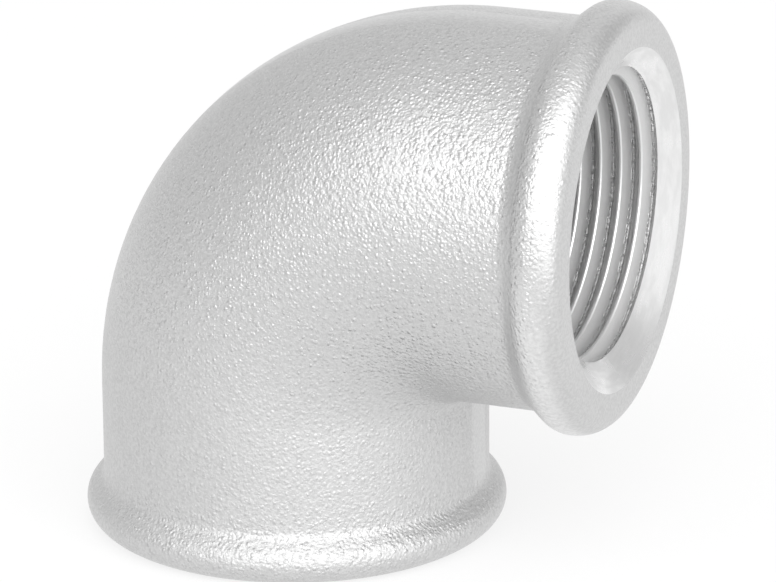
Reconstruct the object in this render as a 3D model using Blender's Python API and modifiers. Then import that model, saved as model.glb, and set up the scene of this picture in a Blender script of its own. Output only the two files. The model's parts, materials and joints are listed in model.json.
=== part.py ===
"""Galvanised iron elbow: a 90 degree pipe fitting with an internal one inch thread at each mouth.

One iron casting. It stands on its lower mouth, and its side mouth looks along +X. The outside is a round
tube that follows a straight, bent and straight centreline, with a rolled bead round each mouth. The sand
core leaves a wide bent passage inside, and each mouth is then faced, countersunk and bored to the thread's
crests. The thread's own grooves are too fine for this model.

Units are metres, +Z is up. The origin lies on the surface that the elbow stands on, under the middle of its
overall box.
"""

import math

import bmesh
import bpy
from mathutils import Vector

# Thread of one inch nominal bore, parallel, right hand
THREAD_MAJOR_DIAMETER = 0.033249
THREAD_MINOR_DIAMETER = 0.030291
THREAD_DEPTH = 0.0170  # from the face to where the bore opens into the cored passage

# Casting
CENTRE_TO_FACE = 0.0380  # from the crossing of the two arms' axes to each face
SOCKET_WALL = 0.0045  # iron outside the thread's grooves
PASSAGE_WALL = 0.0033  # iron round the cored passage
CROTCH_ROUND = 0.0006  # inner corner between the two arms

# Bead round the side mouth
SIDE_BEAD_HEIGHT = 0.0021
SIDE_CREST_DEPTH = 0.0030  # from the face back to the bead's highest ring
SIDE_BACK_ROUND = 0.00365

# Bead round the lower mouth, a little shorter
LOWER_BEAD_HEIGHT = 0.0019
LOWER_CREST_DEPTH = 0.0024
LOWER_BACK_ROUND = 0.0024

# Both beads
FRONT_DROP = 0.0025  # from the crest down to the edge of the flat face
FOOT_FILLET = 0.0017  # where the bead's back meets the body

# Machining of each mouth
COUNTERSINK_WIDTH = 0.0033
COUNTERSINK_DEPTH = 0.0025
CUT_OVERRUN = 0.0010  # how far every cut runs past what it cuts

# Facets
SIDES = 56
BEND_STEPS = 14
FRONT_STEPS = 6
BACK_STEPS = 5
FILLET_STEPS = 2
WELD_DISTANCE = 0.000001

# Zinc skin on iron, linear colour
ZINC_COLOUR = (0.56, 0.57, 0.58, 1.0)
ZINC_METALLIC = 1.0
ZINC_ROUGHNESS = 0.45

# Worked out from the sizes above
BODY_RADIUS = THREAD_MAJOR_DIAMETER / 2 + SOCKET_WALL
BORE_RADIUS = THREAD_MINOR_DIAMETER / 2
PASSAGE_RADIUS = BODY_RADIUS - PASSAGE_WALL
BEND_RADIUS = BODY_RADIUS + CROTCH_ROUND
STRAIGHT_LENGTH = CENTRE_TO_FACE - BEND_RADIUS
BEND_LENGTH = BEND_RADIUS * math.pi / 2
CENTRELINE_LENGTH = 2 * STRAIGHT_LENGTH + BEND_LENGTH
LOWER_AXIS_X = (BODY_RADIUS + LOWER_BEAD_HEIGHT - CENTRE_TO_FACE) / 2


def clear_scene():
    """Remove every object, so that the file can be run again."""
    for item in list(bpy.data.objects):
        bpy.data.objects.remove(item)


def new_collection(name):
    collection = bpy.data.collections.new(name)
    bpy.context.scene.collection.children.link(collection)
    return collection


def centreline_point(distance):
    """The centreline's point at this distance from the lower face, with the lower arm's axis at X zero."""
    into_bend = distance - STRAIGHT_LENGTH
    if into_bend <= 0:
        return Vector((0, 0, distance))
    past_bend = into_bend - BEND_LENGTH
    if past_bend >= 0:
        return Vector((BEND_RADIUS + past_bend, 0, CENTRE_TO_FACE))
    angle = into_bend / BEND_RADIUS
    across = BEND_RADIUS * (1 - math.cos(angle))
    along = BEND_RADIUS * math.sin(angle)
    return Vector((across, 0, STRAIGHT_LENGTH + along))


def arc_angles(turn, steps):
    """Even angles from zero to this turn, both ends included."""
    return [turn * step / steps for step in range(steps + 1)]


def bead_outline(height, crest_depth, back_round):
    """A bead as (distance from the face, radius) pairs, from the flat face's edge back to the plain body.

    The front is a quarter of an ellipse, square to the face and level at the crest. The back rolls down on
    one arc and runs out onto the body on a fillet that meets it.
    """
    crest_radius = BODY_RADIUS + height
    outline = []
    for angle in arc_angles(math.pi / 2, FRONT_STEPS):
        distance = crest_depth * (1 - math.cos(angle))
        radius = crest_radius - FRONT_DROP * (1 - math.sin(angle))
        outline.append((distance, radius))
    turn = math.acos(max(0, 1 - height / (back_round + FOOT_FILLET)))
    for angle in arc_angles(turn, BACK_STEPS)[1:]:
        distance = crest_depth + back_round * math.sin(angle)
        radius = crest_radius - back_round * (1 - math.cos(angle))
        outline.append((distance, radius))
    foot_distance = crest_depth + (back_round + FOOT_FILLET) * math.sin(turn)
    for angle in reversed(arc_angles(turn, FILLET_STEPS)[:-1]):
        distance = foot_distance - FOOT_FILLET * math.sin(angle)
        radius = BODY_RADIUS + FOOT_FILLET * (1 - math.cos(angle))
        outline.append((distance, radius))
    return outline


def from_side_mouth(outline):
    """The same pairs counted from the side mouth, in the order of the centreline."""
    return [(CENTRELINE_LENGTH - distance, radius) for distance, radius in reversed(outline)]


def bend_distances():
    """Even distances along the centreline's bend, both ends included."""
    return [STRAIGHT_LENGTH + BEND_LENGTH * step / BEND_STEPS for step in range(BEND_STEPS + 1)]


def swept_tube(name, stations, collection):
    """A closed round tube along the centreline, through (distance, radius) stations."""
    curve = bpy.data.curves.new(name + "_path", "CURVE")
    curve.dimensions = "3D"
    curve.bevel_depth = BODY_RADIUS
    curve.bevel_resolution = SIDES // 2 - 2
    curve.use_fill_caps = True
    spline = curve.splines.new("POLY")
    spline.points.add(len(stations) - 1)
    for point, (distance, radius) in zip(spline.points, stations):
        point.co = centreline_point(distance).to_4d()
        point.radius = radius / BODY_RADIUS
    path = bpy.data.objects.new(name + "_path", curve)
    path.location.x = LOWER_AXIS_X
    collection.objects.link(path)

    graph = bpy.context.evaluated_depsgraph_get()
    mesh = bpy.data.meshes.new_from_object(path.evaluated_get(graph))
    mesh.name = name
    weld_and_smooth(mesh)
    tube = bpy.data.objects.new(name, mesh)
    tube.matrix_world = path.matrix_world
    collection.objects.link(tube)
    bpy.data.objects.remove(path)
    bpy.data.curves.remove(curve)
    return tube


def weld_and_smooth(mesh):
    """Join the end caps to the wall, and shade the wall smooth and the flat caps flat."""
    shape = bmesh.new()
    shape.from_mesh(mesh)
    bmesh.ops.remove_doubles(shape, verts=shape.verts, dist=WELD_DISTANCE)
    for face in shape.faces:
        face.smooth = len(face.verts) <= 4
    shape.to_mesh(mesh)
    shape.free()


def make_casting(collection):
    """The outside: a lower bead, the bend and a side bead on one centreline."""
    lower = bead_outline(LOWER_BEAD_HEIGHT, LOWER_CREST_DEPTH, LOWER_BACK_ROUND)
    side = bead_outline(SIDE_BEAD_HEIGHT, SIDE_CREST_DEPTH, SIDE_BACK_ROUND)
    bend = [(distance, BODY_RADIUS) for distance in bend_distances()]
    return swept_tube("elbow_body", lower + bend + from_side_mouth(side), collection)


def core_radius(distance):
    """The core's radius: a 45 degree shoulder opens from each bore until the passage has its full width."""
    from_mouth = min(distance, CENTRELINE_LENGTH - distance)
    return min(PASSAGE_RADIUS, BORE_RADIUS + from_mouth - THREAD_DEPTH)


def make_core(collection):
    """The cored passage, from inside one bore, round the bend, to inside the other."""
    first = THREAD_DEPTH - CUT_OVERRUN
    last = CENTRELINE_LENGTH - first
    middle = [distance for distance in bend_distances() if first < distance < last]
    stations = [(distance, core_radius(distance)) for distance in [first, *middle, last]]
    return swept_tube("passage_core", stations, collection)


def make_mouth_cutter(name, collection):
    """The countersink and bore of one mouth, turned about Z, with the face at Z zero and the bore below.

    The profile stands half a facet round from +X, so that no facet of the bore lies close along one of the
    core's.
    """
    overrun_width = COUNTERSINK_WIDTH * CUT_OVERRUN / COUNTERSINK_DEPTH
    profile = [
        (0, CUT_OVERRUN),
        (BORE_RADIUS + COUNTERSINK_WIDTH + overrun_width, CUT_OVERRUN),
        (BORE_RADIUS, -COUNTERSINK_DEPTH),
        (BORE_RADIUS, -THREAD_DEPTH - CUT_OVERRUN),
        (0, -THREAD_DEPTH - CUT_OVERRUN),
    ]
    half_facet = math.pi / SIDES
    outward = Vector((math.cos(half_facet), math.sin(half_facet), 0))
    mesh = bpy.data.meshes.new(name)
    shape = bmesh.new()
    corners = [shape.verts.new(outward * radius + Vector((0, 0, height))) for radius, height in profile]
    for start, end in zip(corners, corners[1:]):
        shape.edges.new((start, end))
    shape.to_mesh(mesh)
    shape.free()
    cutter = bpy.data.objects.new(name, mesh)
    collection.objects.link(cutter)
    turn = cutter.modifiers.new("Turned about the arm's axis", "SCREW")
    turn.axis = "Z"
    turn.steps = SIDES
    turn.render_steps = SIDES
    turn.use_merge_vertices = True
    turn.merge_threshold = WELD_DISTANCE
    return cutter


def cut(body, cutter):
    """Take the cutter out of the body, and keep it as a guide that isn't rendered."""
    cutter.hide_render = True
    cutter.display_type = "WIRE"
    boolean = body.modifiers.new(cutter.name, "BOOLEAN")
    boolean.operation = "DIFFERENCE"
    boolean.solver = "EXACT"
    boolean.object = cutter


def make_zinc():
    """Hot-dip zinc on cast iron: bright grey metal with a soft sheen."""
    material = bpy.data.materials.new("Galvanised cast iron")
    material.use_nodes = True
    shader = material.node_tree.nodes["Principled BSDF"]
    shader.inputs["Base Color"].default_value = ZINC_COLOUR
    shader.inputs["Metallic"].default_value = ZINC_METALLIC
    shader.inputs["Roughness"].default_value = ZINC_ROUGHNESS
    return material


def main():
    clear_scene()
    parts = new_collection("Galvanised elbow")
    cutters = new_collection("Cutters")

    body = make_casting(parts)
    body.data.materials.clear()
    body.data.materials.append(make_zinc())
    cut(body, make_core(cutters))

    lower_mouth = make_mouth_cutter("lower_mouth_cutter", cutters)
    lower_mouth.location = (LOWER_AXIS_X, 0, 0)
    lower_mouth.rotation_euler = (math.pi, 0, 0)
    cut(body, lower_mouth)

    side_mouth = make_mouth_cutter("side_mouth_cutter", cutters)
    side_mouth.location = (LOWER_AXIS_X + CENTRE_TO_FACE, 0, CENTRE_TO_FACE)
    side_mouth.rotation_euler = (0, math.pi / 2, 0)
    cut(body, side_mouth)


main()
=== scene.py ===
"""Galvanised iron elbow: a 90 degree pipe fitting with an internal one inch thread at each mouth.

The script is laid out as an add-on. It casts the blank round its cored passage, taps both mouths, gives
each surface its finish, and sets up the stage. Sizes are in metres, +Z is up, and the elbow stands on its
lower mouth with its side mouth along +X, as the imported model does.
"""

import json
import math

import bpy
from mathutils import Matrix, Vector


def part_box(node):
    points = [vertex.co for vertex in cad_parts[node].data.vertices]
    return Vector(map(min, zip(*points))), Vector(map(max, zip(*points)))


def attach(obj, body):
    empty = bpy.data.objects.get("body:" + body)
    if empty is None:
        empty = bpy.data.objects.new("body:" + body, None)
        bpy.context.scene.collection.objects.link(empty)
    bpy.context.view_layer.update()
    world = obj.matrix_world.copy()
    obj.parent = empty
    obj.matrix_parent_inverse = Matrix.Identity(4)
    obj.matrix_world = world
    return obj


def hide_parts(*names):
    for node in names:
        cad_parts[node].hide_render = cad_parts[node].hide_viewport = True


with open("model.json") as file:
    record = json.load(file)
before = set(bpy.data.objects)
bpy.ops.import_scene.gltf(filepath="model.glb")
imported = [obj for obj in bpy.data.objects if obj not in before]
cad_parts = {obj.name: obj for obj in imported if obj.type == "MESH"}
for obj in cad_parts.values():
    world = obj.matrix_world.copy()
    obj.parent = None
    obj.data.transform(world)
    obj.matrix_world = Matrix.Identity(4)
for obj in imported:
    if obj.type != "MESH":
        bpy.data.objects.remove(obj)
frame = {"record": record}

bl_info = {
    "name": "Galvanised Elbow",
    "version": (1, 0, 0),
    "blender": (4, 5, 0),
    "location": "3D View > Sidebar > Elbow",
    "description": "Models a galvanised iron elbow with its threads, finishes and stage",
    "category": "Add Mesh",
}

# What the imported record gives
MOUNTS = {mount["name"]: mount for mount in frame["record"]["mounts"]}
LOWER_AXIS_X = MOUNTS["lower_face"]["pos_m"][0]
SIDE_FACE_X = MOUNTS["side_face"]["pos_m"][0]
SIDE_AXIS_Z = MOUNTS["side_face"]["pos_m"][2]
CASTING_LOW, CASTING_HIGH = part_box("elbow_body")

MILLIMETRE = 0.001


def millimetres(*lengths):
    """Lengths in millimetres as metres."""
    return tuple(length * MILLIMETRE for length in lengths)


# Facets
FRONT_STEPS = 14
BACK_STEPS = 10
FILLET_STEPS = 6
EDGE_STEPS = 3
CONE_STEPS = 4
BORE_STEPS = 10
LOWER_ARM_STEPS = 5
SIDE_ARM_STEPS = 4
BEND_STEPS = 40
PASSAGE_STEPS = 26
SHOULDER_STEPS = 4
ROOT_STEPS = 6
SMOOTH_ANGLE = math.radians(28)  # a sharper edge than this stays sharp

# Small lengths of the modelling
WELD_DISTANCE = 0.01 * MILLIMETRE
RING_TOLERANCE = 0.02 * MILLIMETRE
FACE_RING_WIDTH = 1.2 * MILLIMETRE  # flat ring round the countersink, drawn on its own
COIL_CLEARANCE = 0.04 * MILLIMETRE  # how far a coil reaches inside the bore

# Coils that cut the threads
THREAD_FLANK_ANGLE = math.radians(27.5)
COIL_TURNS = 10
TURNS_BEFORE_START = 3


def linear_colour(hex_colour):
    """An sRGB hex colour as linear red, green, blue and alpha."""
    channels = []
    for start in (0, 2, 4):
        value = int(hex_colour[start:start + 2], 16) / 255
        if value <= 0.04045:
            channels.append(value / 12.92)
        else:
            channels.append(((value + 0.055) / 1.055) ** 2.4)
    return (*channels, 1.0)


def length_property(name, description, length):
    """A length in millimetres that the user can change."""
    return bpy.props.FloatProperty(
        name=name,
        description=description,
        default=length * MILLIMETRE,
        min=0,
        precision=5,
        subtype="DISTANCE",
        unit="LENGTH",
    )


def angle_property(name, description, degrees):
    """An angle that the user can change."""
    return bpy.props.FloatProperty(
        name=name,
        description=description,
        default=math.radians(degrees),
        min=0,
        subtype="ANGLE",
        unit="ROTATION",
    )


def count_property(name, description, count):
    """A number of facets that the user can change."""
    return bpy.props.IntProperty(name=name, description=description, default=count, min=48, max=320)


def colour_property(name, description, hex_colour):
    """A colour that the user can change."""
    return bpy.props.FloatVectorProperty(
        name=name,
        description=description,
        default=linear_colour(hex_colour),
        size=4,
        min=0,
        max=1,
        subtype="COLOR",
    )


def share_property(name, description, share):
    """A share from none to all that the user can change."""
    return bpy.props.FloatProperty(
        name=name,
        description=description,
        default=share,
        min=0,
        max=1,
        subtype="FACTOR",
    )


def power_property(name, description, watts):
    """A lamp's power that the user can change."""
    return bpy.props.FloatProperty(name=name, description=description, default=watts, min=0, unit="POWER")


class ElbowSizes(bpy.types.PropertyGroup):
    thread_major_diameter: length_property(
        "Thread major diameter", "Across the bottoms of the thread's grooves", 33.249
    )
    thread_minor_diameter: length_property(
        "Thread minor diameter", "Across the thread's crests, which is the bore", 30.291
    )
    thread_pitch: length_property(
        "Thread pitch", "From one crest to the next, eleven to the inch", 25.4 / 11
    )
    thread_depth: length_property("Thread depth", "From the face to the end of the bore", 17.0)
    thread_start: length_property(
        "Thread start", "From the face to the first whole groove's middle, at the back", 4.843
    )
    socket_wall: length_property("Socket wall", "Iron outside the thread's grooves", 4.5)
    passage_wall: length_property("Passage wall", "Iron round the cored passage", 3.3)
    crotch_round: length_property("Crotch round", "Inner corner between the two arms", 0.6)
    side_crest_depth: length_property(
        "Side bead crest", "From the side face to the bead's highest ring", 3.2
    )
    side_back_round: length_property("Side bead back", "Radius of the back of the side bead", 2.5)
    side_back_slope: angle_property("Side back slope", "Steepest slope of the side bead's back", 39)
    lower_crest_depth: length_property(
        "Lower bead crest", "From the lower face to the bead's highest ring", 2.4
    )
    lower_back_round: length_property("Lower bead back", "Radius of the back of the lower bead", 2.4)
    lower_back_slope: angle_property("Lower back slope", "Steepest slope of the lower bead's back", 46)
    front_drop: length_property("Bead front", "From a bead's crest down to the flat face", 2.5)
    foot_fillet: length_property("Foot fillet", "Where a bead's back runs out on the body", 1.6)
    countersink_width: length_property("Countersink width", "Across the sloping ring in each face", 3.3)
    countersink_depth: length_property("Countersink depth", "From the face to the start of the bore", 2.5)
    thread_root_round: length_property("Thread root round", "Radius at the bottom of the grooves", 0.317)
    crest_chamfer_depth: length_property(
        "Crest chamfer depth", "From the crest down to where its edge breaks", 0.09
    )
    crest_chamfer_width: length_property(
        "Crest chamfer width", "What each broken edge takes off the crest", 0.10
    )
    edge_round: length_property("Edge round", "Radius left on the machined edges by the zinc", 0.15)
    ring_sides: count_property("Ring sides", "Facets round the casting", 144)
    thread_steps: count_property("Thread steps", "Facets in one turn of a groove", 144)


class ElbowFinish(bpy.types.PropertyGroup):
    zinc_colour: colour_property("Zinc", "Dipped zinc skin", "D6D6D6")
    dull_zinc_colour: colour_property("Dull zinc", "Greyer patches of the skin", "CCCCCC")
    # Painted highlight on the side bead's lower half, round its crest, broken into spots
    side_bead_sheen_colour: colour_property("Side bead zinc", "Cleaner spots under the side bead", "EAEAEA")
    countersink_colour: colour_property("Countersink", "Turned and dipped sloping ring", "F0F0F0")
    dull_countersink_colour: colour_property("Dull countersink", "Greyer blotches of the ring", "E4E4E4")
    thread_colour: colour_property("Thread", "Cut iron of the tapped thread", "CECECE")
    # Brighter colour that paints the highlight line on the crests' broken edges and part of the glint of the
    # torn roots
    painted_glint_colour: colour_property("Crest edge", "Burnished edges and torn roots", "EAEAEA")
    # A greyer colour that paints the shade inside the passage
    shaded_passage_colour: colour_property("Passage", "Zinc inside the cored passage", "B8B8B8")
    lump_width: length_property("Lump width", "Width of the skin's larger lumps", 0.42)
    lump_height: length_property("Lump height", "Height of the tallest of them", 0.11)
    grit_width: length_property("Grit width", "Width of the skin's fine lumps", 0.25)
    grit_height: length_property("Grit height", "Height of the tallest of those", 0.04)
    swell_width: length_property("Swell width", "Width of the soft unevenness under the lumps", 0.5)
    swell_height: length_property("Swell height", "Height of that unevenness", 0.08)
    ground_height: length_property("Ground band height", "How far the ground flash stands out", 0.1)
    ridge_height: length_property("Ridge height", "How far the ridge of flash stands out", 0.16)


class ElbowStage(bpy.types.PropertyGroup):
    floor_colour: colour_property("Floor", "Plain white floor", "F4F4F4")
    floor_size: length_property("Floor size", "Side of the square floor", 3000)
    floor_gap: length_property("Floor gap", "Between the lower face and the floor", 0.02)
    floor_glow: share_property("Floor glow", "Share of the floor's white that no shadow darkens", 0.72)
    mirrored_glow: share_property("Mirrored floor glow", "The same share as the metal mirrors it", 0.97)
    room_light: share_property("Room light", "Strength of the white room round the floor", 0.85)
    left_wall: share_property("Left wall", "Strength of the room's greyer side", 0.79)
    patch_dimming: share_property("Patch dimming", "What a greyer patch behind takes off the room", 0.36)
    key_power: power_property("Key light", "Power of the large softbox", 15.0)
    mouth_power: power_property("Mouth light", "Power of the small softbox on the right", 0.03)


def sizes():
    return bpy.context.scene.elbow_sizes


def finish_settings():
    return bpy.context.scene.elbow_finish


# Places on the casting


def bore_radius():
    return sizes().thread_minor_diameter / 2


def body_radius():
    return sizes().thread_major_diameter / 2 + sizes().socket_wall


def bend_radius():
    return body_radius() + sizes().crotch_round


def straight_length():
    """From a face to where the centreline starts to bend."""
    return SIDE_AXIS_Z - bend_radius()


def bend_centre():
    return Vector((LOWER_AXIS_X + bend_radius(), 0, straight_length()))


def side_bead_height():
    """The side bead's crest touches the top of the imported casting."""
    return CASTING_HIGH.z - SIDE_AXIS_Z - body_radius()


def lower_bead_height():
    """The lower bead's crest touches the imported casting's -X side."""
    return LOWER_AXIS_X - CASTING_LOW.x - body_radius()


def countersink_radius(depth):
    """The sloping ring's radius at this depth."""
    share = 1 - depth / sizes().countersink_depth
    return bore_radius() + sizes().countersink_width * share


def arc(turn, steps):
    """Even angles from zero to this turn, both ends included."""
    return [turn * step / steps for step in range(steps + 1)]


def bead_outline(height, crest_depth, back_round, slope):
    """A bead as (depth, radius) pairs, from the flat face's edge back to the plain body.

    The front is a quarter of an ellipse. The back is an arc, a straight stretch at its steepest slope, and a
    fillet that meets the body.
    """
    fillet = sizes().foot_fillet
    crest_radius = body_radius() + height
    outline = []
    for angle in arc(math.pi / 2, FRONT_STEPS):
        depth = crest_depth * (1 - math.cos(angle))
        radius = crest_radius - sizes().front_drop * (1 - math.sin(angle))
        outline.append((depth, radius))
    for angle in arc(slope, BACK_STEPS)[1:]:
        depth = crest_depth + back_round * math.sin(angle)
        radius = crest_radius - back_round * (1 - math.cos(angle))
        outline.append((depth, radius))
    arcs = back_round + fillet
    straight = (height - arcs * (1 - math.cos(slope))) / math.tan(slope)
    foot = crest_depth + arcs * math.sin(slope) + straight
    for angle in reversed(arc(slope, FILLET_STEPS)):
        depth = foot - fillet * math.sin(angle)
        radius = body_radius() + fillet * (1 - math.cos(angle))
        outline.append((depth, radius))
    return outline


def mouth_outline():
    """The machined mouth as (depth, radius) pairs, from the flat face in to the end of the bore."""
    slope = math.atan2(sizes().countersink_width, sizes().countersink_depth)
    rounding = sizes().edge_round
    reach = rounding * math.tan((math.pi / 2 - slope) / 2)
    outer = countersink_radius(0)
    outline = [(0, outer + FACE_RING_WIDTH), (0, outer + reach)]
    for angle in arc(math.pi / 2 - slope, EDGE_STEPS)[1:]:
        depth = rounding * (1 - math.cos(angle))
        radius = outer + reach - rounding * math.sin(angle)
        outline.append((depth, radius))
    for step in range(1, CONE_STEPS + 1):
        depth = sizes().countersink_depth * step / CONE_STEPS
        outline.append((depth, countersink_radius(depth)))
    first = sizes().countersink_depth
    last = straight_length()
    for step in range(1, BORE_STEPS + 1):
        outline.append((first + (last - first) * step / BORE_STEPS, bore_radius()))
    return outline


def plain_stretch(foot, steps):
    """The plain arm as (depth, radius) pairs, between a bead's foot and the bend, both left out."""
    reach = straight_length() - foot
    return [(foot + reach * step / steps, body_radius()) for step in range(1, steps)]


# Modelling by hand


def select_nothing():
    if bpy.context.object is not None and bpy.context.object.mode != "OBJECT":
        bpy.ops.object.mode_set(mode="OBJECT")
    bpy.ops.object.select_all(action="DESELECT")


def name_piece(name):
    """Names the active object and its mesh."""
    piece = bpy.context.object
    piece.name = name
    piece.data.name = name
    return piece


def draw_ring(arm, start, end):
    """Extrudes the selected ring along its arm, from one (depth, radius) pair to the next."""
    origin, inward = arm
    step = inward * (end[0] - start[0])
    bpy.ops.mesh.extrude_edges_move(TRANSFORM_OT_translate={"value": step})
    factor = end[1] / start[1]
    bpy.ops.transform.resize(value=(factor, factor, factor), center_override=origin + inward * end[0])


def draw_outline(arm, outline):
    for start, end in zip(outline, outline[1:]):
        draw_ring(arm, start, end)


def ring_centre():
    """The middle of the selected ring."""
    piece = bpy.context.object
    piece.update_from_editmode()
    chosen = [vertex.co for vertex in piece.data.vertices if vertex.select]
    return sum(chosen, Vector()) / len(chosen)


def turn_ring(steps, angle, factor=1.0):
    """Spins the selected ring round the bend, and can then resize it about its own middle."""
    bpy.ops.mesh.spin(steps=steps, angle=angle, center=bend_centre(), axis=(0, -1, 0))
    if factor != 1.0:
        bpy.ops.transform.resize(value=(factor, factor, factor), center_override=ring_centre())


def check_ring(place):
    """Stops the work if the selected ring isn't centred on this place."""
    away = (ring_centre() - place).length
    if away > RING_TOLERANCE:
        raise RuntimeError(f"the ring is {away / MILLIMETRE:.3f} mm from where it belongs")


# Each arm's face, and the way in from it
LOWER_ARM = (Vector((LOWER_AXIS_X, 0, 0)), Vector((0, 0, 1)))
SIDE_ARM = (Vector((SIDE_FACE_X, 0, SIDE_AXIS_Z)), Vector((-1, 0, 0)))


def bend_end(arm):
    """Where an arm's axis starts to bend."""
    origin, inward = arm
    return origin + inward * straight_length()


def shoulder_factors():
    """How the core widens from the bore to the full passage: the angle of a step, and each step's factor."""
    wide = body_radius() - sizes().passage_wall
    widening = (wide - bore_radius()) / SHOULDER_STEPS
    radii = [bore_radius() + widening * step for step in range(SHOULDER_STEPS + 1)]
    angle = (radii[1] - radii[0]) / bend_radius()
    return angle, [end / start for start, end in zip(radii, radii[1:])]


def draw_passage():
    """Turns the bore's last ring back round the bend, wider in the middle and narrow again at the end."""
    angle, factors = shoulder_factors()
    for factor in factors:
        turn_ring(1, -angle, factor)
    turn_ring(PASSAGE_STEPS, -(math.pi / 2 - 2 * angle * len(factors)))
    for factor in reversed(factors):
        turn_ring(1, -angle, 1 / factor)


def cast_blank():
    """The casting's whole skin, drawn as one ring from the lower face over the outside and back inside."""
    select_nothing()
    given = sizes()
    lower = bead_outline(
        lower_bead_height(), given.lower_crest_depth, given.lower_back_round, given.lower_back_slope
    )
    side = bead_outline(
        side_bead_height(), given.side_crest_depth, given.side_back_round, given.side_back_slope
    )
    bpy.ops.mesh.primitive_circle_add(
        vertices=given.ring_sides,
        radius=lower[0][1],
        fill_type="NOTHING",
        location=LOWER_ARM[0],
    )
    piece = name_piece("elbow_casting")
    bpy.ops.object.transform_apply(location=True, rotation=True, scale=True)
    bpy.ops.object.mode_set(mode="EDIT")
    bpy.ops.mesh.select_mode(type="VERT")
    bpy.ops.mesh.select_all(action="SELECT")

    bend_start = [(straight_length(), body_radius())]
    draw_outline(LOWER_ARM, lower + plain_stretch(lower[-1][0], LOWER_ARM_STEPS) + bend_start)
    turn_ring(BEND_STEPS, math.pi / 2)
    check_ring(bend_end(SIDE_ARM))
    to_foot = plain_stretch(side[-1][0], SIDE_ARM_STEPS)[::-1]
    draw_outline(SIDE_ARM, bend_start + to_foot + side[::-1])

    mouth = mouth_outline()
    draw_outline(SIDE_ARM, [side[0]] + mouth)
    draw_passage()
    check_ring(bend_end(LOWER_ARM))
    draw_outline(LOWER_ARM, mouth[::-1] + [lower[0]])
    bpy.ops.mesh.select_all(action="SELECT")
    bpy.ops.mesh.remove_doubles(threshold=WELD_DISTANCE)
    bpy.ops.mesh.normals_make_consistent(inside=False)
    bpy.ops.object.mode_set(mode="OBJECT")
    return piece


def select_vertices(wanted):
    """Selects the active mesh's vertices whose place passes the test, in edit mode."""
    bpy.ops.mesh.select_mode(type="VERT")
    bpy.ops.mesh.select_all(action="DESELECT")
    bpy.ops.object.mode_set(mode="OBJECT")
    for vertex in bpy.context.object.data.vertices:
        vertex.select = wanted(vertex.co)
    bpy.ops.object.mode_set(mode="EDIT")


def groove_section(name):
    """One groove's section in the XZ plane, its root towards +X, with broken crest edges inside.

    It starts as a triangle between the flanks. The tip is rounded off to the root, and the foot flares out
    below the crest's edges.
    """
    bore = bore_radius()
    root = sizes().thread_major_diameter / 2
    flank = math.tan(THREAD_FLANK_ANGLE)
    sharp_width = sizes().thread_pitch / 2 - (root - bore) * flank
    apex = root + sharp_width / 2 / flank
    edge = bore + sizes().crest_chamfer_depth
    inner = bore - COIL_CLEARANCE
    inner_width = 2 * (apex - inner) * flank
    chamfer_slope = flank + sizes().crest_chamfer_width / sizes().crest_chamfer_depth
    flared_width = 2 * (apex - edge) * flank + 2 * (edge - inner) * chamfer_slope

    bpy.ops.mesh.primitive_plane_add(size=1, location=(0, 0, 0))
    section = name_piece(name)
    bpy.ops.object.mode_set(mode="EDIT")
    bpy.ops.transform.rotate(value=math.pi / 2, orient_axis="X", center_override=(0, 0, 0))
    bpy.ops.transform.resize(value=(apex - inner, 1, inner_width), center_override=(0, 0, 0))
    bpy.ops.transform.translate(value=((apex + inner) / 2, 0, 0))
    select_vertices(lambda place: place.x > (apex + inner) / 2)
    bpy.ops.mesh.merge(type="CENTER")
    bpy.ops.mesh.bevel(
        affect="VERTICES", offset=sizes().thread_root_round / flank, segments=ROOT_STEPS
    )
    bpy.ops.mesh.select_all(action="SELECT")
    bpy.ops.mesh.bisect(plane_co=(edge, 0, 0), plane_no=(1, 0, 0))
    select_vertices(lambda place: place.x < (edge + inner) / 2)
    bpy.ops.transform.resize(value=(1, 1, flared_width / inner_width), center_override=(inner, 0, 0))
    bpy.ops.mesh.select_all(action="SELECT")
    bpy.ops.mesh.dissolve_edges(use_verts=False)
    bpy.ops.mesh.delete(type="ONLY_FACE")
    bpy.ops.object.mode_set(mode="OBJECT")
    return section


def groove_coil(name, arm):
    """A coil to take away: one groove of the thread, wound from in front of the face into the passage."""
    select_nothing()
    origin, inward = arm
    pitch = sizes().thread_pitch
    coil = groove_section(name)
    winding = coil.modifiers.new("Winding", "SCREW")
    winding.axis = "Z"
    winding.angle = 2 * math.pi
    winding.screw_offset = pitch
    winding.iterations = COIL_TURNS
    winding.steps = sizes().thread_steps
    winding.render_steps = sizes().thread_steps
    bpy.ops.object.modifier_apply(modifier=winding.name)
    bpy.ops.object.mode_set(mode="EDIT")
    bpy.ops.mesh.select_all(action="SELECT")
    bpy.ops.mesh.fill_holes(sides=0)
    bpy.ops.mesh.select_all(action="SELECT")
    bpy.ops.mesh.normals_make_consistent(inside=False)
    bpy.ops.object.mode_set(mode="OBJECT")
    first_depth = sizes().thread_start - pitch / 4 - TURNS_BEFORE_START * pitch
    coil.location = origin + inward * first_depth
    if arm == SIDE_ARM:
        coil.rotation_euler = (0, -math.pi / 2, 0)
    bpy.ops.object.transform_apply(location=True, rotation=True, scale=True)
    return coil


def tap_mouth(piece, name, arm):
    """Cuts one mouth's thread with its coil."""
    coil = groove_coil(name, arm)
    select_nothing()
    piece.select_set(True)
    bpy.context.view_layer.objects.active = piece
    tap = piece.modifiers.new("Tap", "BOOLEAN")
    tap.operation = "DIFFERENCE"
    tap.solver = "EXACT"
    tap.object = coil
    bpy.ops.object.modifier_apply(modifier=tap.name)
    bpy.data.objects.remove(coil)


# Surfaces by place

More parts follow.
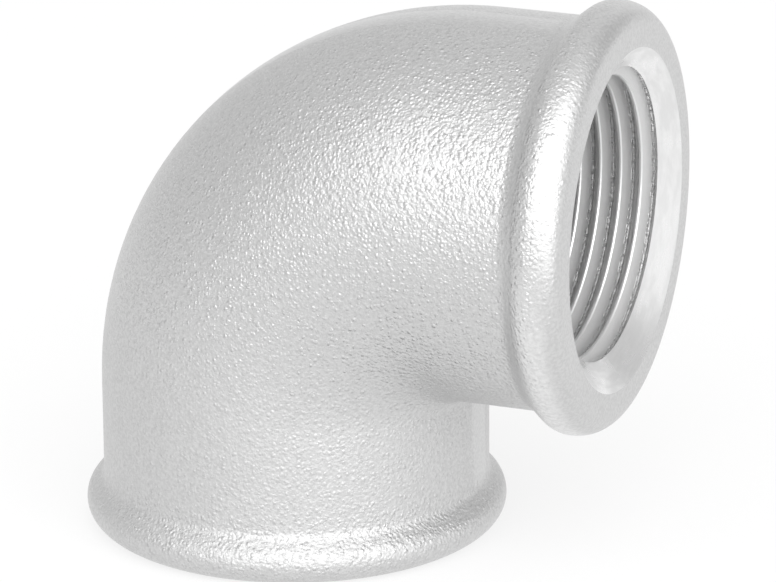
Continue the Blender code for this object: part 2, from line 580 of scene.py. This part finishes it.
SKIN, COUNTERSINK, THREAD, CREST_EDGE, PASSAGE = range(5)
SLACK = 0.01 * MILLIMETRE
EDGE_REACH = 0.1 * MILLIMETRE  # how far the countersink's rounded edge spreads on the face
GROOVE_START_DEPTH = 0.3 * MILLIMETRE  # no groove cuts the countersink nearer to the face
THREAD_RUNOUT = 1.6 * MILLIMETRE  # grooves still cut past the bore's end by this much
PASSAGE_MARGIN = 1.5 * MILLIMETRE  # what is this far inside the body belongs to the passage
MOUTH_ATTRIBUTE = "mouth_place"


def seen_from_mouth(place, lower):
    """A place's angle round a mouth's axis, its depth from the face and its radius.

    The angle jumps at the lower mouth's +X side and at the side mouth's bottom.
    """
    if lower:
        angle = math.atan2(place.y, LOWER_AXIS_X - place.x)
        return angle, place.z, math.hypot(place.x - LOWER_AXIS_X, place.y)
    angle = math.atan2(place.y, place.z - SIDE_AXIS_Z)
    return angle, SIDE_FACE_X - place.x, math.hypot(place.y, place.z - SIDE_AXIS_Z)


def distance_from_centreline(place):
    """How far a place is from the middle of the arm or bend that it belongs to."""
    off = place - bend_centre()
    if off.x > 0:
        return math.hypot(place.y, place.z - SIDE_AXIS_Z)
    if off.z < 0:
        return math.hypot(place.y, place.x - LOWER_AXIS_X)
    return math.hypot(off.y, math.hypot(off.x, off.z) - bend_radius())


def surface_of(face):
    """Which finish a face of the casting has."""
    depth, radius = min(seen_from_mouth(face.center, lower)[1:] for lower in (True, False))
    bore = bore_radius()
    broken_edge = bore + sizes().crest_chamfer_depth
    if depth < SLACK:
        return SKIN
    if radius < countersink_radius(0) + EDGE_REACH and depth < sizes().countersink_depth - SLACK:
        if radius > max(countersink_radius(depth), bore) + 3 * SLACK and depth > GROOVE_START_DEPTH:
            return THREAD
        return COUNTERSINK
    root = sizes().thread_major_diameter / 2
    if depth < sizes().thread_depth + THREAD_RUNOUT and radius < root + SLACK:
        if bore + 1.5 * SLACK < radius < broken_edge - 1.5 * SLACK:
            return CREST_EDGE
        return THREAD
    if distance_from_centreline(face.center) < body_radius() - PASSAGE_MARGIN:
        return PASSAGE
    return SKIN


def write_mouth_places(piece):
    """Stores the way round the mouth, the depth and the height above the bore at each face's corners."""
    mesh = piece.data
    bore = bore_radius()
    stored = mesh.attributes.new(MOUTH_ATTRIBUTE, "FLOAT_VECTOR", "CORNER")
    for face in mesh.polygons:
        lower = face.center.z < SIDE_FACE_X - face.center.x
        middle = seen_from_mouth(face.center, lower)[0]
        for corner in face.loop_indices:
            place = mesh.vertices[mesh.loops[corner].vertex_index].co
            angle, depth, radius = seen_from_mouth(place, lower)
            if angle - middle > math.pi:
                angle -= 2 * math.pi
            elif middle - angle > math.pi:
                angle += 2 * math.pi
            stored.data[corner].vector = (angle * bore, depth, radius - bore)


NOISE_ROUGHNESS = 0.55
LUMP_FOOT = 0.85  # from a lump's middle to its foot, as a share of a cell

# Zinc skin. A pair is a soft step, from where there is nothing to where it is whole, or the width and reach
# of a wandering.
SKIN_ROUGHNESS = 0.38
LOW_ROUGHNESS = 0.53
LOW_PART = millimetres(30, 18)
ABOVE_LOWER_BEAD = millimetres(5.5, 8.0)
LOW_CALM_SHARE = 0.3
LUMP_WANDER = millimetres(0.4, 0.2)
MOTTLE_WIDTH = 0.35 * MILLIMETRE
MOTTLE_STEP = (0.36, 0.64)
POOL_START = millimetres(4.9, 5.5)
POOL_END = millimetres(6.6, 6.0)
POOL_CALM_SHARE = 0.7
MACHINED = millimetres(3.6, 1.2)
MACHINED_CALM_SHARE = 0.6
# Where the side bead's painted highlight lies, and the spots that break it up
ON_SIDE_BEAD = millimetres(6.0, 3.5)
BEHIND_FACE = millimetres(0.8, 2.4)
UNDER_SIDE_BEAD = millimetres(42, 31)
SPOT_WIDTH = 0.45 * MILLIMETRE
SPOT_STEP = (0.3, 0.7)
SPOT_LOSS_SHARE = 0.6

# Ground band where the mould parted, and the ridge of flash at its foot
BAND_MIDDLE = 1.85 * MILLIMETRE
BAND_EDGE = millimetres(2.2, 1.9)
BAND_LEAN_SHARE = 0.045  # how far the band leans over for each length it rises
BAND_WANDER = millimetres(6, 0.9)
BAND_PAST_SIDE_BEAD = millimetres(6.5, 8.0)
BAND_PAST_LOWER_BEAD = millimetres(5.0, 6.5)
BAND_CALM_SHARE = 0.8
BAND_SMOOTHER_SHARE = 0.26
RIDGE_MIDDLE = 0.1 * MILLIMETRE
RIDGE_EDGE = millimetres(0.26, 0.05)
RIDGE_WANDER = millimetres(0.8, 0.7)
RIDGE_START = millimetres(3.0, 3.4)
RIDGE_END = millimetres(6.6, 6.0)
RIDGE_PIECE_WIDTH = 0.6 * MILLIMETRE
RIDGE_PIECE_STEP = (0.42, 0.56)

# Machined surfaces: patch sizes along the cut, across it and above the bore, and heights
CONE_ROUGHNESS = 0.27
DULL_CONE_ROUGHNESS = 0.36
BLOTCH_SIZE = millimetres(3.5, 1.2, 1.2)
BLOTCH_HEIGHT = 0.03 * MILLIMETRE
BLOTCH_STEP = (0.35, 0.65)
TURNING_SIZE = millimetres(30, 0.22, 0.3)
TURNING_HEIGHT = 0.006 * MILLIMETRE
SPECK_SIZE = millimetres(0.3, 0.25, 0.3)
SPECK_HEIGHT = 0.01 * MILLIMETRE
CUT_ROUGHNESS = 0.5
TORN_ROUGHNESS = 0.25
BURNISHED_ROUGHNESS = 0.35
CUT_METALLIC = 0.25  # the tap's fine tears scatter the light, which a lower value stands for
CUT_LINE_SIZE = millimetres(6, 0.12, 0.12)
CUT_LINE_HEIGHT = 0.02 * MILLIMETRE
CUT_MOTTLE_SIZE = millimetres(0.5, 0.3, 0.3)
CUT_MOTTLE_HEIGHT = 0.03 * MILLIMETRE
TEAR_SIZE = millimetres(0.5, 0.35, 1.0)
TEAR_NOISE_ROUGHNESS = 0.7
TEAR_STEP = (0.47, 0.53)
TEAR_HEIGHT = 0.1 * MILLIMETRE
ROOT_HEIGHT = millimetres(1.26, 1.38)
NICK_SIZE = millimetres(0.6, 0.5, 0.5)
NICK_HEIGHT = 0.05 * MILLIMETRE
PASSAGE_ROUGHNESS = 0.4


# Node trees


def add_node(tree, kind, inputs=None, **settings):
    """Adds a node with its own settings. Each input takes a value, or a link from another node's output."""
    node = tree.nodes.new(kind)
    for name, value in settings.items():
        setattr(node, name, value)
    for name, value in (inputs or {}).items():
        if isinstance(value, bpy.types.NodeSocket):
            tree.links.new(value, node.inputs[name])
        else:
            node.inputs[name].default_value = value
    return node


def new_finish(name, colour, roughness, metallic=1.0):
    """A material with one shader, whose constants stand on the shader itself."""
    material = bpy.data.materials.new(name)
    material.use_nodes = True
    tree = material.node_tree
    tree.nodes.clear()
    shader = add_node(
        tree,
        "ShaderNodeBsdfPrincipled",
        {"Base Color": colour, "Roughness": roughness, "Metallic": metallic},
    )
    add_node(tree, "ShaderNodeOutputMaterial", {"Surface": shader.outputs["BSDF"]})
    material.diffuse_color = colour
    return material, tree, shader


def fade(tree, value, start, end):
    """Rises smoothly from zero where the value is at the start to one at the end."""
    node = add_node(
        tree,
        "ShaderNodeMapRange",
        {"Value": value, "From Min": start, "From Max": end},
        interpolation_type="SMOOTHSTEP",
    )
    return node.outputs["Result"]


def less(tree, value, share):
    """One where the value is zero, down to one less this share where the value is one."""
    node = add_node(tree, "ShaderNodeMath", {0: value, 1: -share, 2: 1.0}, operation="MULTIPLY_ADD")
    return node.outputs[0]


def all_of(tree, first, *others):
    """The product of some shares, which is one only where each of them is."""
    result = first
    for other in others:
        node = add_node(tree, "ShaderNodeMath", {0: result, 1: other}, operation="MULTIPLY")
        result = node.outputs[0]
    return result


def distance_from(tree, value, middle):
    """How far a coordinate is from this middle."""
    off = add_node(tree, "ShaderNodeMath", {0: value, 1: middle}, operation="SUBTRACT")
    return add_node(tree, "ShaderNodeMath", {0: off.outputs[0]}, operation="ABSOLUTE").outputs[0]


def raise_surface(tree, shader, layers):
    """Gives the shader's normal the slopes of some (pattern, height) layers, heights in metres."""
    relief = 0.0
    for pattern, height in layers:
        inputs = {0: pattern, 1: height / MILLIMETRE, 2: relief}
        relief = add_node(tree, "ShaderNodeMath", inputs, operation="MULTIPLY_ADD").outputs[0]
    bump = add_node(
        tree, "ShaderNodeBump", {"Height": relief, "Strength": 1.0, "Distance": MILLIMETRE}
    )
    tree.links.new(bump.outputs["Normal"], shader.inputs["Normal"])


# Patterns


def warped(tree, place, width, reach):
    """The same place moved about by up to the reach, so that no cell or line stays a plain shape."""
    noise = add_node(tree, "ShaderNodeTexNoise", {"Vector": place, "Scale": 1 / width, "Detail": 1.0})
    moved = add_node(
        tree,
        "ShaderNodeVectorMath",
        {0: noise.outputs["Color"], 1: (reach, reach, reach), 2: place},
        operation="MULTIPLY_ADD",
    )
    return moved.outputs["Vector"]


def lumps(tree, place, width):
    """Round lumps, one to a cell, each with its own height of up to one."""
    cells = add_node(
        tree, "ShaderNodeTexVoronoi", {"Vector": place, "Scale": 1 / width, "Randomness": 1.0}
    )
    own = add_node(tree, "ShaderNodeSeparateColor", {"Color": cells.outputs["Color"]})
    return all_of(tree, fade(tree, cells.outputs["Distance"], LUMP_FOOT, 0.0), own.outputs["Red"])


def swells(tree, place):
    """The soft unevenness of sand-cast iron under its lumps, round one half."""
    scale = 1 / finish_settings().swell_width
    noise = add_node(
        tree,
        "ShaderNodeTexNoise",
        {"Vector": place, "Scale": scale, "Detail": 3.0, "Roughness": NOISE_ROUGHNESS},
    )
    return noise.outputs["Fac"]


def patches(tree, place, width, start, end, detail):
    """Soft patches of about this width, from zero where the noise is at the start to one at the end."""
    noise = add_node(
        tree,
        "ShaderNodeTexNoise",
        {"Vector": place, "Scale": 1 / width, "Detail": detail, "Roughness": NOISE_ROUGHNESS},
    )
    return fade(tree, noise.outputs["Fac"], start, end)


def streaks(tree, place, size, detail, roughness=NOISE_ROUGHNESS):
    """Noise whose patches have this size along the cut, across it and above the bore."""
    scale = tuple(1 / length for length in size)
    shaped = add_node(tree, "ShaderNodeVectorMath", {0: place, 1: scale}, operation="MULTIPLY")
    noise = add_node(
        tree,
        "ShaderNodeTexNoise",
        {
            "Vector": shaped.outputs["Vector"],
            "Scale": 1.0,
            "Detail": detail,
            "Roughness": roughness,
        },
    )
    return noise.outputs["Fac"]


def mouth_place(tree):
    """Way round the mouth's axis, depth from the face and height above the bore, in metres."""
    place = add_node(
        tree, "ShaderNodeAttribute", attribute_type="GEOMETRY", attribute_name=MOUTH_ATTRIBUTE
    )
    return place.outputs["Vector"]


# Finishes


def ground_band(tree, place, depth, height):
    """One on the band where the flash was ground off, between the two beads, and zero beside it."""
    wander = warped(tree, place, *BAND_WANDER)
    across = add_node(tree, "ShaderNodeSeparateXYZ", {"Vector": wander}).outputs["Y"]
    leaning = add_node(
        tree, "ShaderNodeMath", {0: height, 1: BAND_LEAN_SHARE, 2: across}, operation="MULTIPLY_ADD"
    )
    return all_of(
        tree,
        fade(tree, distance_from(tree, leaning.outputs[0], BAND_MIDDLE), *BAND_EDGE),
        fade(tree, depth, *BAND_PAST_SIDE_BEAD),
        fade(tree, height, *BAND_PAST_LOWER_BEAD),
    )


def flash_ridge(tree, place, height):
    """One along the broken ridge that the flash left across the lower bead's foot."""
    wander = warped(tree, place, *RIDGE_WANDER)
    across = add_node(tree, "ShaderNodeSeparateXYZ", {"Vector": wander}).outputs["Y"]
    return all_of(
        tree,
        fade(tree, distance_from(tree, across, RIDGE_MIDDLE), *RIDGE_EDGE),
        fade(tree, height, *RIDGE_START),
        fade(tree, height, *RIDGE_END),
        patches(tree, place, RIDGE_PIECE_WIDTH, *RIDGE_PIECE_STEP, detail=2.0),
    )


def skin_colour(tree, place, depth, height):
    """Zinc in two close greys that change at random, and a painted highlight on the side bead's lower half
    round its crest, broken into spots.
    """
    finish = finish_settings()
    mottled = add_node(
        tree,
        "ShaderNodeMix",
        {
            "Factor": patches(tree, place, MOTTLE_WIDTH, *MOTTLE_STEP, detail=4.0),
            "A": finish.dull_zinc_colour,
            "B": finish.zinc_colour,
        },
        data_type="RGBA",
    )
    # Painted highlight: a lighter colour on the side bead's lower half round its crest, broken into spots
    sheen_share = all_of(
        tree,
        fade(tree, depth, *ON_SIDE_BEAD),
        fade(tree, height, *UNDER_SIDE_BEAD),
        less(tree, patches(tree, place, SPOT_WIDTH, *SPOT_STEP, detail=3.0), SPOT_LOSS_SHARE),
        fade(tree, depth, *BEHIND_FACE),
    )
    with_sheen = add_node(
        tree,
        "ShaderNodeMix",
        {"Factor": sheen_share, "A": mottled.outputs["Result"], "B": finish.side_bead_sheen_colour},
        data_type="RGBA",
    )
    return with_sheen.outputs["Result"]


def dipped_skin():
    """Hot-dip zinc over sand-cast iron: bright neutral grey, the sand's fine lumps under a shiny skin.

    Zinc has pooled in the foot of the side bead, and the machined faces had no sand under them, so the
    lumps fade out there. Lower down the zinc is a little calmer and duller. Along the plane in which the
    mould parted, the flash was ground off to a smooth, slightly raised band, and a broken ridge of it is
    left across the lower bead's foot.
    """
    finish = finish_settings()
    material, tree, shader = new_finish("hot_dip_zinc_on_sand_casting", finish.zinc_colour, SKIN_ROUGHNESS)
    place = add_node(tree, "ShaderNodeTexCoord").outputs["Object"]
    parts = add_node(tree, "ShaderNodeSeparateXYZ", {"Vector": place}).outputs
    depth = distance_from(tree, parts["X"], SIDE_FACE_X)
    height = parts["Z"]
    low = fade(tree, height, *LOW_PART)
    ground = ground_band(tree, place, depth, height)

    pooled = all_of(tree, fade(tree, depth, *POOL_START), fade(tree, depth, *POOL_END))
    low_arm = all_of(tree, low, fade(tree, height, *ABOVE_LOWER_BEAD))
    rough_cast = all_of(
        tree,
        less(tree, pooled, POOL_CALM_SHARE),
        less(tree, fade(tree, depth, *MACHINED), MACHINED_CALM_SHARE),
        less(tree, ground, BAND_CALM_SHARE),
        less(tree, low_arm, LOW_CALM_SHARE),
    )
    loose = warped(tree, place, *LUMP_WANDER)
    layers = [
        (all_of(tree, lumps(tree, loose, finish.lump_width), rough_cast), finish.lump_height),
        (all_of(tree, lumps(tree, loose, finish.grit_width), rough_cast), finish.grit_height),
        (all_of(tree, swells(tree, place), rough_cast), finish.swell_height),
        (ground, finish.ground_height),
        (flash_ridge(tree, place, height), finish.ridge_height),
    ]
    raise_surface(tree, shader, layers)

    dipped = add_node(
        tree, "ShaderNodeMapRange", {"Value": low, "To Min": SKIN_ROUGHNESS, "To Max": LOW_ROUGHNESS}
    )
    roughness = all_of(tree, dipped.outputs["Result"], less(tree, ground, BAND_SMOOTHER_SHARE))
    tree.links.new(roughness, shader.inputs["Roughness"])
    tree.links.new(skin_colour(tree, place, depth, height), shader.inputs["Base Color"])
    return material


def countersunk_ring():
    """Zinc dipped over the turned cone: brighter than the skin, with faint rings and soft blotches."""
    finish = finish_settings()
    material, tree, shader = new_finish(
        "dipped_zinc_on_turned_cone", finish.countersink_colour, CONE_ROUGHNESS
    )
    place = mouth_place(tree)
    blotches = streaks(tree, place, BLOTCH_SIZE, detail=3.0)
    dull = fade(tree, blotches, *BLOTCH_STEP)
    colour = add_node(
        tree,
        "ShaderNodeMix",
        {"Factor": dull, "A": finish.countersink_colour, "B": finish.dull_countersink_colour},
        data_type="RGBA",
    )
    tree.links.new(colour.outputs["Result"], shader.inputs["Base Color"])
    roughness = add_node(
        tree,
        "ShaderNodeMapRange",
        {"Value": dull, "To Min": CONE_ROUGHNESS, "To Max": DULL_CONE_ROUGHNESS},
    )
    tree.links.new(roughness.outputs["Result"], shader.inputs["Roughness"])
    layers = [
        (blotches, BLOTCH_HEIGHT),
        (streaks(tree, place, TURNING_SIZE, detail=1.0), TURNING_HEIGHT),
        (streaks(tree, place, SPECK_SIZE, detail=2.0), SPECK_HEIGHT),
    ]
    raise_surface(tree, shader, layers)
    return material


def tapped_iron():
    """Iron cut by the tap: duller and darker than zinc, lined along the cut, torn in the roots, where a
    brighter colour paints part of the tears' glint.
    """
    finish = finish_settings()
    material, tree, shader = new_finish(
        "tapped_iron_thread", finish.thread_colour, CUT_ROUGHNESS, CUT_METALLIC
    )
    place = mouth_place(tree)
    above_bore = add_node(tree, "ShaderNodeSeparateXYZ", {"Vector": place}).outputs["Z"]
    tears = streaks(tree, place, TEAR_SIZE, detail=4.0, roughness=TEAR_NOISE_ROUGHNESS)
    torn = all_of(tree, fade(tree, tears, *TEAR_STEP), fade(tree, above_bore, *ROOT_HEIGHT))
    # The torn flecks take the brighter colour: a painted glint on top of their real tears
    colour = add_node(
        tree,
        "ShaderNodeMix",
        {"Factor": torn, "A": finish.thread_colour, "B": finish.painted_glint_colour},
        data_type="RGBA",
    )
    tree.links.new(colour.outputs["Result"], shader.inputs["Base Color"])
    metallic = add_node(tree, "ShaderNodeMapRange", {"Value": torn, "To Min": CUT_METALLIC, "To Max": 1.0})
    tree.links.new(metallic.outputs["Result"], shader.inputs["Metallic"])
    roughness = add_node(
        tree, "ShaderNodeMapRange", {"Value": torn, "To Min": CUT_ROUGHNESS, "To Max": TORN_ROUGHNESS}
    )
    tree.links.new(roughness.outputs["Result"], shader.inputs["Roughness"])
    layers = [
        (streaks(tree, place, CUT_LINE_SIZE, detail=2.0), CUT_LINE_HEIGHT),
        (streaks(tree, place, CUT_MOTTLE_SIZE, detail=3.0), CUT_MOTTLE_HEIGHT),
        (torn, TEAR_HEIGHT),
    ]
    raise_surface(tree, shader, layers)
    return material


def crest_edge_highlight():
    """The broken edges of the thread's crests, with small nicks, in a brighter colour that paints their
    highlight line and also stands for the tap's burnish.
    """
    colour = finish_settings().painted_glint_colour
    material, tree, shader = new_finish("crest_edge_painted_highlight", colour, BURNISHED_ROUGHNESS)
    nicks = streaks(tree, mouth_place(tree), NICK_SIZE, detail=3.0)
    raise_surface(tree, shader, [(nicks, NICK_HEIGHT)])
    return material


def cored_passage():
    """Zinc over the core's sand: the skin's lumps, in a greyer colour that paints the shade inside."""
    finish = finish_settings()
    material, tree, shader = new_finish(
        "dipped_zinc_on_cored_passage", finish.shaded_passage_colour, PASSAGE_ROUGHNESS
    )
    place = add_node(tree, "ShaderNodeTexCoord").outputs["Object"]
    layers = [
        (lumps(tree, place, finish.lump_width), finish.lump_height),
        (swells(tree, place), finish.swell_height),
    ]
    raise_surface(tree, shader, layers)
    return material


class OBJECT_OT_elbow_casting(bpy.types.Operator):
    """Cast the elbow's blank with its beads, faces, countersinks and passage, and tap both mouths"""

    bl_idname = "object.elbow_casting"
    bl_label = "Galvanised Elbow"

    def execute(self, context):
        piece = cast_blank()
        tap_mouth(piece, "side_tap", SIDE_ARM)
        tap_mouth(piece, "lower_tap", LOWER_ARM)
        for finish in (dipped_skin, countersunk_ring, tapped_iron, crest_edge_highlight, cored_passage):
            piece.data.materials.append(finish())
        for face in piece.data.polygons:
            face.material_index = surface_of(face)
        write_mouth_places(piece)
        select_nothing()
        piece.select_set(True)
        bpy.context.view_layer.objects.active = piece
        bpy.ops.object.shade_smooth_by_angle(angle=SMOOTH_ANGLE)
        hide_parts("elbow_body")
        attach(piece, "root")
        return {"FINISHED"}


# Stage

WHITE = (1.0, 1.0, 1.0, 1.0)

# Soft steps by direction: the left wall, the backdrop low behind, and a greyer patch behind on the right
WALL_TURN = (-0.5, 0.9)
BACKDROP_BEHIND = (0.65, 0.9)
BACKDROP_LOW = (0.7, 0.42)
PATCH_BEHIND = (0.25, 0.5)
PATCH_ABOVE = (0.0, 0.2)
PATCH_LEFT_EDGE = (0.15, 0.35)
PATCH_RIGHT_EDGE = (0.93, 0.8)

# Softboxes, aimed at one place: azimuth and elevation in degrees, distance and size in metres
LIT_PLACE = Vector((0.003, 0, 0.035))
KEY_ANGLES = (24, 37)
KEY_DISTANCE = 1.2
KEY_SIZE = (2.35, 1.5)
MOUTH_ANGLES = (57, 7)
MOUTH_DISTANCE = 0.2
MOUTH_SIZE = (0.15, 0.12)

# Camera, from a fit to the photograph's outline and rings
CAMERA_PLACE = Vector(millimetres(208.069, -527.436, 224.715))
CAMERA_TARGET = Vector(millimetres(3.407, -0.079, 26.932))
CAMERA_ROLL = math.radians(-0.3686)
LENS_MILLIMETRES = 257.81
SENSOR_MILLIMETRES = 36
CLIP_START = 0.01
CLIP_END = 20


def who_looks(tree):
    """Two outputs, one where the camera looks at this surface, and one where a mirror or glass does."""
    path = add_node(tree, "ShaderNodeLightPath").outputs
    mirror = add_node(
        tree,
        "ShaderNodeMath",
        {0: path["Is Glossy Ray"], 1: path["Is Transmission Ray"]},
        operation="MAXIMUM",
    )
    return path["Is Camera Ray"], mirror.outputs[0]


def seen_strength(tree):
    """How white the room looks by direction, to the camera and in the metal."""
    stage = bpy.context.scene.elbow_stage
    direction = add_node(tree, "ShaderNodeTexCoord").outputs["Generated"]
    parts = add_node(tree, "ShaderNodeSeparateXYZ", {"Vector": direction}).outputs
    walls = add_node(
        tree,
        "ShaderNodeMapRange",
        {
            "Value": parts["X"],
            "From Min": WALL_TURN[0],
            "From Max": WALL_TURN[1],
            "To Min": stage.left_wall,
            "To Max": 1.0,
        },
        interpolation_type="SMOOTHSTEP",
    )
    backdrop = all_of(
        tree, fade(tree, parts["Y"], *BACKDROP_BEHIND), fade(tree, parts["Z"], *BACKDROP_LOW)
    )
    brighter = add_node(
        tree, "ShaderNodeMath", {0: walls.outputs["Result"], 1: backdrop}, operation="MAXIMUM"
    )
    patch = all_of(
        tree,
        fade(tree, parts["Y"], *PATCH_BEHIND),
        fade(tree, parts["Z"], *PATCH_ABOVE),
        fade(tree, parts["X"], *PATCH_LEFT_EDGE),
        fade(tree, parts["X"], *PATCH_RIGHT_EDGE),
    )
    return all_of(tree, brighter.outputs[0], less(tree, patch, stage.patch_dimming))


def make_world():
    """A white room, a little greyer on the left, with a white backdrop low behind the object.

    The camera and the metal see it by direction, and everything else is lit by one even strength. The
    countersink's bottom mirrors the greyer patch behind on the right.
    """
    world = bpy.data.worlds.new("Studio")
    bpy.context.scene.world = world
    world.use_nodes = True
    tree = world.node_tree
    tree.nodes.clear()
    room_light = bpy.context.scene.elbow_stage.room_light
    room = add_node(tree, "ShaderNodeBackground", {"Color": WHITE, "Strength": room_light})
    white = add_node(tree, "ShaderNodeBackground", {"Color": WHITE, "Strength": seen_strength(tree)})
    camera, mirror = who_looks(tree)
    seen = add_node(tree, "ShaderNodeMath", {0: camera, 1: mirror}, operation="MAXIMUM")
    both = add_node(
        tree,
        "ShaderNodeMixShader",
        {"Fac": seen.outputs[0], 1: room.outputs[0], 2: white.outputs[0]},
    )
    add_node(tree, "ShaderNodeOutputWorld", {"Surface": both.outputs[0]})


def make_floor():
    """A white floor. Part of its white is its own, which keeps the shadow on it faint."""
    select_nothing()
    stage = bpy.context.scene.elbow_stage
    bpy.ops.mesh.primitive_plane_add(size=stage.floor_size, location=(0, 0, -stage.floor_gap))
    floor = name_piece("floor")
    material = bpy.data.materials.new("white_floor")
    material.use_nodes = True
    tree = material.node_tree
    tree.nodes.clear()
    lit = add_node(tree, "ShaderNodeBsdfDiffuse", {"Color": stage.floor_colour})
    white = add_node(tree, "ShaderNodeEmission", {"Color": WHITE, "Strength": 1.0})
    camera, mirror = who_looks(tree)
    own_white = add_node(
        tree,
        "ShaderNodeMath",
        {0: all_of(tree, camera, stage.floor_glow), 1: all_of(tree, mirror, stage.mirrored_glow)},
        operation="MAXIMUM",
    )
    both = add_node(
        tree,
        "ShaderNodeMixShader",
        {"Fac": own_white.outputs[0], 1: lit.outputs[0], 2: white.outputs[0]},
    )
    add_node(tree, "ShaderNodeOutputMaterial", {"Surface": both.outputs[0]})
    floor.data.materials.append(material)


def add_softbox(name, angles, distance, size, power):
    """An area light round the object. Azimuth zero is towards -Y, and ninety towards +X."""
    turn, rise = math.radians(angles[0]), math.radians(angles[1])
    out = Vector((math.sin(turn) * math.cos(rise), -math.cos(turn) * math.cos(rise), math.sin(rise)))
    aim = out.to_track_quat("Z", "Y").to_euler()
    bpy.ops.object.light_add(type="AREA", location=LIT_PLACE + out * distance, rotation=aim)
    light = bpy.context.object
    light.name = name
    light.data.shape = "RECTANGLE"
    light.data.size, light.data.size_y = size
    light.data.energy = power


def add_camera():
    """The photograph's own viewing angle, distance and lens."""
    back = (CAMERA_PLACE - CAMERA_TARGET).to_track_quat("Z", "Y").to_matrix()
    aim = back @ Matrix.Rotation(CAMERA_ROLL, 3, "Z")
    bpy.ops.object.camera_add(location=CAMERA_PLACE, rotation=aim.to_euler())
    camera = bpy.context.object
    camera.name = "camera"
    camera.data.lens = LENS_MILLIMETRES
    camera.data.sensor_width = SENSOR_MILLIMETRES
    camera.data.clip_start = CLIP_START
    camera.data.clip_end = CLIP_END
    bpy.context.scene.camera = camera


class SCENE_OT_elbow_stage(bpy.types.Operator):
    """Add the floor, the room, the lights and the camera"""

    bl_idname = "scene.elbow_stage"
    bl_label = "Stage"

    def execute(self, context):
        stage = context.scene.elbow_stage
        make_world()
        make_floor()
        add_softbox("key_light", KEY_ANGLES, KEY_DISTANCE, KEY_SIZE, stage.key_power)
        add_softbox("mouth_light", MOUTH_ANGLES, MOUTH_DISTANCE, MOUTH_SIZE, stage.mouth_power)
        add_camera()
        context.scene.view_settings.view_transform = "Standard"
        return {"FINISHED"}


class VIEW3D_PT_elbow(bpy.types.Panel):
    """The elbow's sizes, finishes and steps"""

    bl_idname = "VIEW3D_PT_elbow"
    bl_label = "Galvanised Elbow"
    bl_space_type = "VIEW_3D"
    bl_region_type = "UI"
    bl_category = "Elbow"

    def draw(self, context):
        for group in ("elbow_sizes", "elbow_finish", "elbow_stage"):
            settings = getattr(context.scene, group)
            box = self.layout.box()
            for name in settings.__annotations__:
                box.prop(settings, name)
        self.layout.operator(OBJECT_OT_elbow_casting.bl_idname)
        self.layout.operator(SCENE_OT_elbow_stage.bl_idname)


CLASSES = (
    ElbowSizes,
    ElbowFinish,
    ElbowStage,
    OBJECT_OT_elbow_casting,
    SCENE_OT_elbow_stage,
    VIEW3D_PT_elbow,
)


def register():
    for item in CLASSES:
        bpy.utils.register_class(item)
    bpy.types.Scene.elbow_sizes = bpy.props.PointerProperty(type=ElbowSizes)
    bpy.types.Scene.elbow_finish = bpy.props.PointerProperty(type=ElbowFinish)
    bpy.types.Scene.elbow_stage = bpy.props.PointerProperty(type=ElbowStage)


def unregister():
    del bpy.types.Scene.elbow_stage
    del bpy.types.Scene.elbow_finish
    del bpy.types.Scene.elbow_sizes
    for item in reversed(CLASSES):
        bpy.utils.unregister_class(item)


def main():
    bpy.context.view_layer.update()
    register()
    bpy.ops.object.elbow_casting()
    bpy.ops.scene.elbow_stage()
    bpy.context.view_layer.update()


if __name__ == "__main__":
    main()
